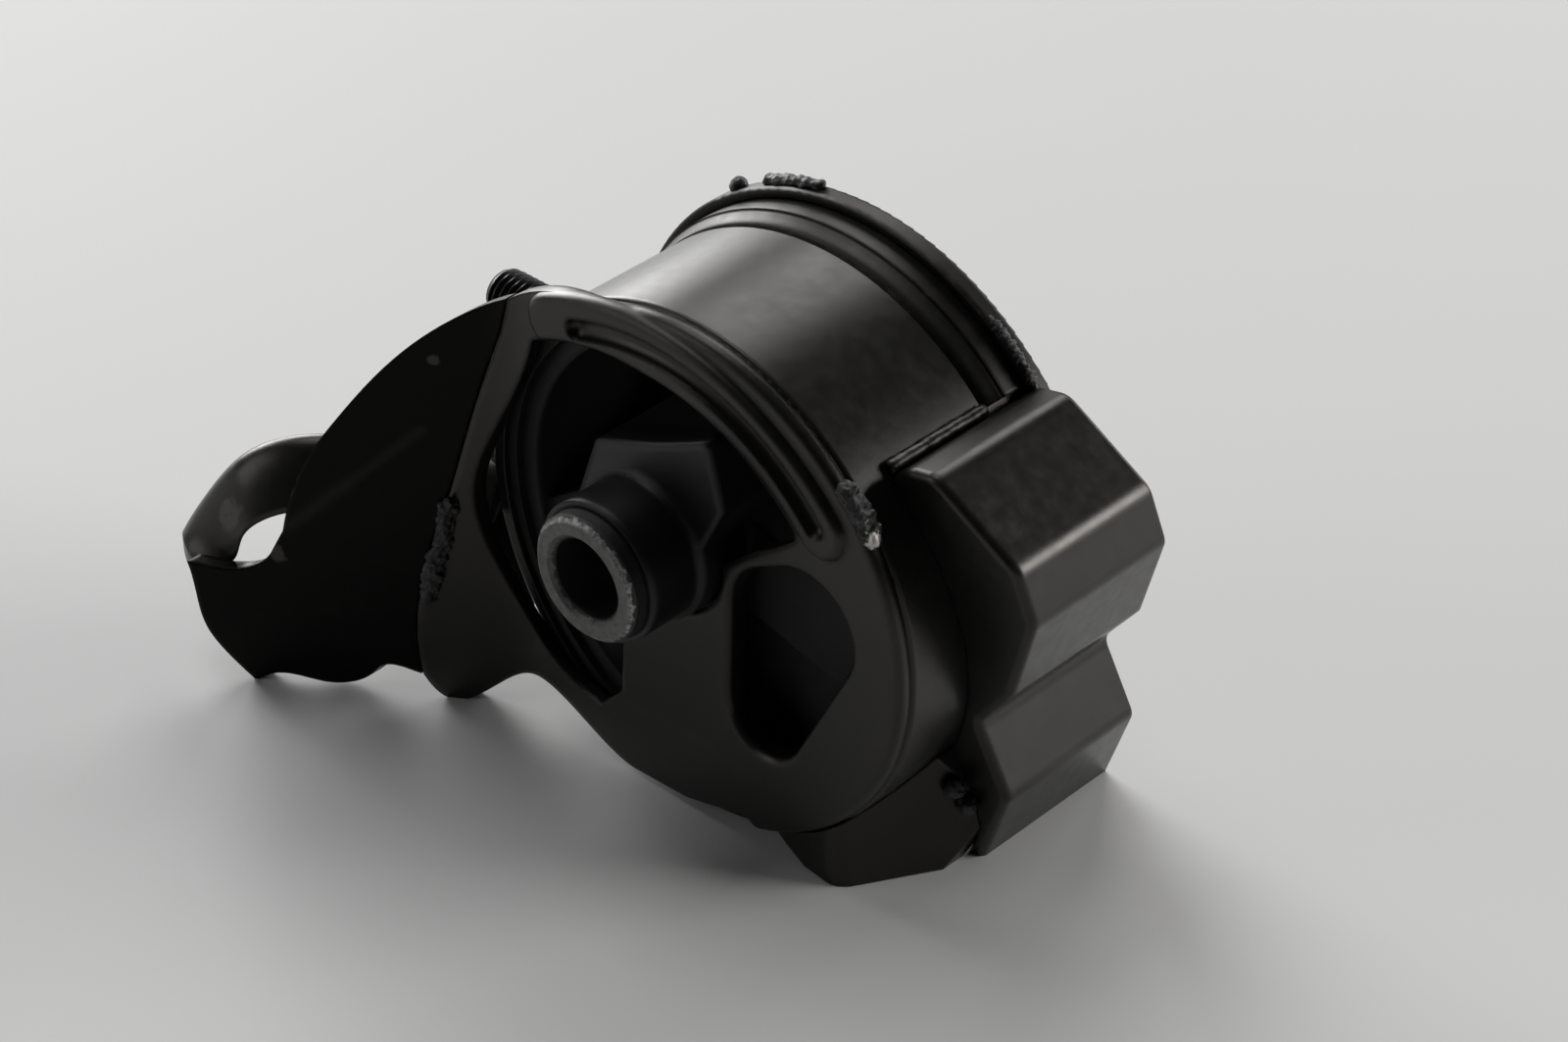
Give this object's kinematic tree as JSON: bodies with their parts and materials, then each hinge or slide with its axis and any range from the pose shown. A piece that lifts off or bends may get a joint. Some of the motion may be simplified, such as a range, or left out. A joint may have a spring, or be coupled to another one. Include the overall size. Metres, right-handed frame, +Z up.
{
  "type": "engine mount",
  "caption": "Rubber-bushed engine mount: an offset sleeve in a round steel barrel, with pressed end plates, a side arm, a stud and a folded stop bracket.",
  "frame": {"origin": "on the bolt axis, at the depth of the near plate's front face", "axes": "+Y along the bolt axis, away from the near plate and towards the far plate; +Z up as it rests on its feet; +X towards the stop bracket"},
  "size_m": [0.1434, 0.083, 0.0877],
  "materials": {
    "black_steel": "satin black paint on pressed steel",
    "bare_steel": "worn bare steel with dark paint in the bore",
    "stud_steel": "black phosphate on a threaded stud",
    "rubber": "matt black moulded rubber",
    "weld": "black paint over rough weld"
  },
  "bodies": {
    "root": {"inner_sleeve": "bare_steel", "bush_rubber": "rubber", "bush_ring": "black_steel", "barrel": "black_steel", "near_plate": "black_steel", "far_plate": "black_steel", "arm_plate": "black_steel", "arm_shell": "black_steel", "stop_bracket": "black_steel", "cheek": "black_steel", "stud": "stud_steel", "weld_stud": "weld", "weld_arm_seam": "weld", "weld_far_ring": "black_steel", "weld_rim": "weld", "weld_feet": "weld", "weld_groove": "weld", "weld_cheek": "weld", "weld_shell": "weld", "weld_lumps": "weld"}
  },
  "joints": []
}
